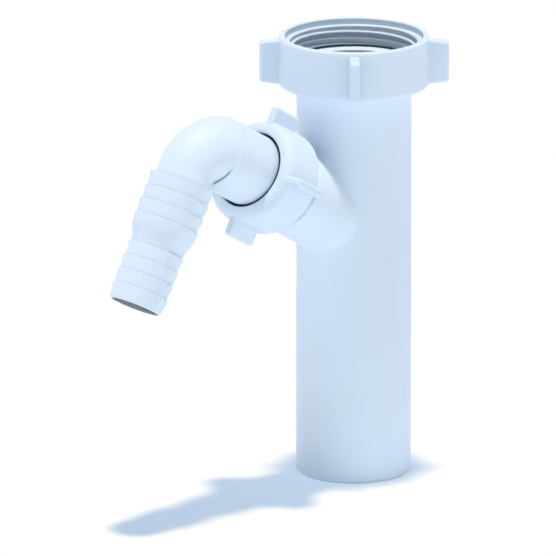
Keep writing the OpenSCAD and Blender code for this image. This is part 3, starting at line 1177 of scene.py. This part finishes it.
@dataclass
class UnionNut(Piece):
    """Small winged nut that draws the elbow's flange on to the branch."""

    length: float = 17.0
    radius: float = 19.8
    lip_thickness: float = 2.9
    back: float = 47.0
    bore_radius: float = 16.705
    hole_radius: float = 14.52
    front_rounding: float = 4.4
    back_rounding: float = 0.5
    hole_rounding: float = 0.8
    thread_depth: float = 1.3

    def build(self) -> bpy.types.Object:
        """Joins the turned shell, its wings and its thread."""
        lip = self.length - self.lip_thickness
        shell = Shape.lathe("union_shell", rounded([
            (self.bore_radius, 0, 0.4),
            (self.radius, 0, self.back_rounding),
            (self.radius, self.length, self.front_rounding),
            (self.hole_radius, self.length, self.hole_rounding),
            (self.hole_radius, lip, 0.15),
            (self.bore_radius, lip, 0),
        ]))
        wings = Wings(
            root=self.radius - 2.4, span=51.0, thickness=3.3, low=1.4, high=self.length - 1.1,
            slope=0.1, turn=0.0,
        ).make(self.trees)
        ridge = Thread(
            self.bore_radius, 1.6, LINE.mouth - self.back - 0.6, self.thread_depth, 1.4, 0.3,
            Hand.INWARD, phase=self.thread_phase(),
        ).ridge(self.trees)
        nut = Shape.combine(self.name, shell, added=(wings, ridge))
        return Shape.place(nut, LINE.frame @ Matrix.Translation((0, 0, self.back)))

    def thread_phase(self) -> float:
        """Angle that sets the nut's ridge midway between the turns of the branch's ridge."""
        pitch = Thread.pitch
        branch_start = LINE.mouth - TeeBody.thread_length + 1.0
        ahead = self.back + 1.6 - branch_start
        return 2 * pi * (ahead / pitch - 0.5)


@dataclass
class Elbow(Piece):
    """Flange, stem, tapering bend and stepped hose barb, moulded as one."""

    flange_thickness: float = 2.45
    stem_radius: float = 13.57
    stem_wall: float = 2.3
    stem_reach: float = 84.6
    barb_reach: float = 94.35
    bend_step: float = 1.0
    bend_side_step: float = 0.12
    bend_early: float = 0.8
    crease: float = 0.3
    bend_steps: int = 28
    neck_radius: float = 10.6
    barb_bore: float = 8.75
    neck_reach: float = 15.9
    barb_pitch: float = 5.36
    wide_crest: float = 12.4
    wide_root: float = 11.6
    wide_count: int = 4
    slim_crest: float = 10.7
    slim_root: float = 10.0
    slim_count: int = 3
    step_cone: float = 1.6
    last_barb: float = 6.2
    tip_radius: float = 9.84
    tip_rounding: float = 1.1
    shoulder_slant: float = 0.08
    crest_rounding: float = 0.12
    lap: float = 1.0
    lap_taper: float = 0.5
    skin_depth: float = 0.004
    bore_sink: float = 0.04

    @property
    def crease_out(self) -> float:
        """Station of the crease line along the branch's axis."""
        return self.barb_reach - self.neck_radius - self.crease

    @property
    def crease_down(self) -> float:
        """Distance of the crease line from the stem's axis."""
        return self.stem_radius - self.bend_step + self.crease

    def build(self) -> bpy.types.Object:
        """Joins stem, bend and barb, and cuts the waterway through them."""
        wall = self.neck_radius - self.barb_bore
        stem = Shape.lathe("stem", rounded([
            (0, LINE.flange, 0),
            (LINE.seat_radius, LINE.flange, 0.2),
            (LINE.seat_radius, LINE.flange + self.flange_thickness, 0.3),
            (self.stem_radius, LINE.flange + self.flange_thickness, 0),
            (self.stem_radius, self.stem_reach, 0.25),
            (0, self.stem_reach, 0),
        ]))
        to_barb = Matrix.Translation((0, 0, self.barb_reach)) @ Matrix.Rotation(-pi / 2, 4, "Y")
        barb = self.barb()
        barb_bore = self.barb_waterway()
        for shape in (barb, barb_bore):
            shape.data.transform(to_barb)
        bend = self.bend("bend", self.skin_depth, self.skin_depth, self.crease_out - self.lap)
        stem_bore = Shape.lathe("stem_bore", [
            (0, LINE.flange - OVER),
            (self.stem_radius - self.stem_wall, LINE.flange - OVER),
            (self.stem_radius - self.stem_wall, self.crease_out - OVER),
            (0, self.crease_out - OVER),
        ])
        bend_bore = self.bend(
            "bend_bore", self.stem_wall + self.bore_sink, wall + self.bore_sink,
            self.crease_out - 2 * OVER,
        )
        elbow = Shape.combine(
            self.name, stem, added=(bend, barb), cut=(stem_bore, bend_bore, barb_bore)
        )
        return Shape.place(elbow, LINE.frame)

    def eased(self, start: float, end: float, share: float) -> float:
        """A value that runs from start to end, mostly early on."""
        pace = share * (1 + self.bend_early - self.bend_early * share)
        return start + (end - start) * pace

    def bend(self, name: str, start_wall: float, end_wall: float, start: float) -> bpy.types.Object:
        """Skin of the bend, narrowed all round by a wall.

        Args:
            name: Name of the object.
            start_wall: How far the skin lies inside the stem's surface.
            end_wall: How far it lies inside the neck's surface.
            start: Station at which it starts inside the stem.

        Returns:
            The closed skin.
        """
        loops = [circle(self.stem_radius - start_wall, start)]
        far_start = self.crease_down + self.stem_radius
        far_end = 2 * self.neck_radius + self.crease
        for i in range(self.bend_steps + 1):
            share = i / self.bend_steps
            wall = start_wall + (end_wall - start_wall) * share
            near = self.crease + wall
            far = self.eased(far_start, far_end, share) - wall
            half = self.eased(self.stem_radius - self.bend_side_step, self.neck_radius, share) - wall
            loops.append(self.bend_loop(share * pi / 2, near, far, half))
        return Shape.loft(name, loops)

    def bend_loop(self, fan: float, near: float, far: float, half: float) -> Loop:
        """One section of the bend: an ellipse in a plane through the crease line."""
        loop = []
        for j in range(SIDES):
            a = 2 * pi * j / SIDES
            out = (near + far) / 2 + (far - near) / 2 * cos(a)
            loop.append(Vector((
                out * cos(fan) - self.crease_down,
                half * sin(a),
                self.crease_out + out * sin(fan),
            )))
        return loop

    def barb(self) -> bpy.types.Object:
        """Solid barb down its own axis: neck, two sizes of barbs and the tip."""
        wide_end = self.neck_reach + self.wide_count * self.barb_pitch
        slim_start = wide_end + self.barb_pitch
        last = slim_start + self.slim_count * self.barb_pitch
        tip = last + self.last_barb
        neck = Shape.lathe("neck", [
            (0, self.crease_down - self.lap),
            (self.neck_radius - self.lap_taper, self.crease_down - self.lap),
            (self.neck_radius, self.crease_down),
            (self.neck_radius, self.neck_reach),
            (self.wide_root, self.neck_reach),
        ], closed=False)
        cone = Shape.lathe("cone", [
            (self.wide_root, wide_end),
            (self.slim_crest, wide_end + self.step_cone),
            (self.slim_root, slim_start),
        ], closed=False)
        end = Shape.lathe("tip", rounded([
            (self.slim_root, last, 0),
            (self.slim_crest, last + self.shoulder_slant, self.crest_rounding),
            (self.tip_radius, tip, self.tip_rounding),
            (0, tip, 0),
        ]), closed=False)
        return Shape.joined("barb", [
            neck,
            self.barb_row(self.wide_root, self.wide_crest, self.neck_reach, self.wide_count),
            cone,
            self.barb_row(self.slim_root, self.slim_crest, slim_start, self.slim_count),
            end,
        ])

    def barb_row(self, root: float, crest: float, start: float, count: int) -> bpy.types.Object:
        """Equal barbs in a row: one open cone with its shoulder, repeated along the axis.

        Args:
            root: Radius at a barb's low end.
            crest: Radius over its shoulder.
            start: Distance of the first shoulder from the stem's axis.
            count: Number of barbs.

        Returns:
            The open skin of the row.
        """
        one = rounded([
            (root, 0, 0),
            (crest, self.shoulder_slant, self.crest_rounding),
            (root, self.barb_pitch, 0),
        ])
        row = Shape.lathe("barb_row", one, closed=False)
        return self.trees.row.run(row, {"Count": count, "Pitch": self.barb_pitch, "Start": start})

    def barb_waterway(self) -> bpy.types.Object:
        """Bore of the barb, with an eased mouth."""
        tip = (
            self.neck_reach + (self.wide_count + 1 + self.slim_count) * self.barb_pitch
            + self.last_barb
        )
        ease = 0.3
        return Shape.lathe("barb_bore", [
            (0, self.crease_down - OVER),
            (self.barb_bore - self.lap_taper, self.crease_down - OVER),
            (self.barb_bore, self.crease_down),
            (self.barb_bore, tip - ease),
            (self.barb_bore + ease + OVER, tip + OVER),
            (0, tip + OVER),
        ])


@dataclass(frozen=True)
class Studio:
    """Floor, daylight, sun and camera of the photograph."""

    camera_place: Colour = (-2.7458, -2.7058, 1.1418)
    camera_pitch: float = radians(90 - 15.4843)
    camera_azimuth: float = radians(-45)
    focal_length: float = 693.34
    floor_half: float = 6.0
    floor_colour: Colour = (0.93, 0.96, 1.0)
    floor_seen: Colour = (0.69, 0.535, 0.315)
    floor_glow: Colour = (0.265, 0.424, 0.659)
    sky_colour: Colour = (0.84, 0.90, 1.0)
    horizon_strength: float = 2.0
    zenith_strength: float = 0.0
    sun_tilt: float = radians(0.5)
    sun_strength: float = 2.55
    sun_angle: float = radians(4.5)

    def build(self) -> None:
        """Sets up the whole studio."""
        self.set_view()
        self.floor()
        self.sky()
        self.sun()
        self.camera()

    def set_view(self) -> None:
        """Shows colours as they are."""
        bpy.context.scene.view_settings.view_transform = "Standard"

    def floor(self) -> None:
        """Pale floor that looks white and keeps the part's shadow."""
        half = self.floor_half
        mesh = bpy.data.meshes.new("studio_floor")
        mesh.from_pydata(
            [(-half, -half, 0), (half, -half, 0), (half, half, 0), (-half, half, 0)], [], [(0, 1, 2, 3)]
        )
        floor = Shape.keep("studio_floor", mesh)
        material = bpy.data.materials.new("studio_floor")
        material.use_nodes = True
        tree = Tree(material.node_tree)
        matt = tree.node("ShaderNodeBsdfDiffuse", inputs={"Color": (*self.floor_colour, 1.0)})
        glow = tree.node("ShaderNodeEmission", inputs={"Color": (*self.floor_glow, 1.0)})
        shown = tree.node("ShaderNodeBsdfDiffuse", inputs={"Color": (*self.floor_seen, 1.0)})
        both = tree.node("ShaderNodeAddShader", inputs={0: shown, 1: glow})
        seen = tree.node("ShaderNodeMixShader", inputs={0: self.seen_rays(tree), 1: matt, 2: both})
        tree.node("ShaderNodeOutputMaterial", inputs={"Surface": seen})
        mesh.materials.append(material)

    def sky(self) -> None:
        """Soft daylight from all round, with a white backdrop for the camera."""
        world = bpy.data.worlds.new("studio_sky")
        world.use_nodes = True
        tree = Tree(world.node_tree)
        height = tree.node("ShaderNodeSeparateXYZ", inputs={
            "Vector": tree.node("ShaderNodeTexCoord", output="Generated"),
        }, output="Z")
        low = 1 - height.at_least(0.0)
        light = tree.node("ShaderNodeBackground", inputs={
            "Color": (*self.sky_colour, 1.0),
            "Strength": self.zenith_strength + low * low * (self.horizon_strength - self.zenith_strength),
        })
        white = tree.node("ShaderNodeBackground", inputs={"Color": (1, 1, 1, 1), "Strength": 1.0})
        seen = tree.node("ShaderNodeMixShader", inputs={0: self.seen_rays(tree), 1: light, 2: white})
        tree.node("ShaderNodeOutputWorld", inputs={"Surface": seen})
        bpy.context.scene.world = world

    @staticmethod
    def seen_rays(tree: Tree) -> Wire:
        """One for rays that show the backdrop, straight or through gloss or glass."""
        camera = tree.node("ShaderNodeLightPath", output="Is Camera Ray")
        glossy = tree.node("ShaderNodeLightPath", output="Is Glossy Ray")
        through = tree.node("ShaderNodeLightPath", output="Is Transmission Ray")
        return (camera + glossy + through).at_most(1.0)

    def sun(self) -> None:
        """Soft sun that stands straight above the part."""
        data = bpy.data.lights.new("studio_sun", "SUN")
        data.energy = self.sun_strength
        data.angle = self.sun_angle
        sun = bpy.data.objects.new("studio_sun", data)
        sun.rotation_euler = (self.sun_tilt, 0, 0)
        bpy.context.scene.collection.objects.link(sun)

    def camera(self) -> None:
        """Camera at the photograph's viewing angle."""
        data = bpy.data.cameras.new("studio_camera")
        data.lens = self.focal_length
        data.sensor_width = 36.0
        data.sensor_fit = "HORIZONTAL"
        data.clip_end = 100.0
        camera = bpy.data.objects.new("studio_camera", data)
        camera.location = self.camera_place
        camera.rotation_euler = (self.camera_pitch, 0, self.camera_azimuth)
        bpy.context.scene.collection.objects.link(camera)
        bpy.context.scene.camera = camera


def main() -> None:
    """Builds the studio and every piece."""
    logging.basicConfig(level=logging.INFO, format="%(name)s: %(message)s")
    trees = Trees()
    Studio().build()
    pieces = (
        TeeBody(trees, "waste_tee", "tee_body", "tee", Slot.BODY),
        InletWasher(trees, "inlet_seal", "inlet_washer", "tee", Slot.WASHER),
        InletNut(trees, "winged_inlet_nut", "inlet_nut", "inlet_nut", Slot.NUT),
        UnionWasher(trees, "union_seal", "union_washer", "union", Slot.WASHER),
        Elbow(trees, "barbed_elbow", "elbow", "elbow", Slot.ELBOW),
        UnionNut(trees, "winged_union_nut", "union_nut", "union_nut", Slot.NUT),
    )
    for piece in pieces:
        piece.dress()


if __name__ == "__main__":
    main()
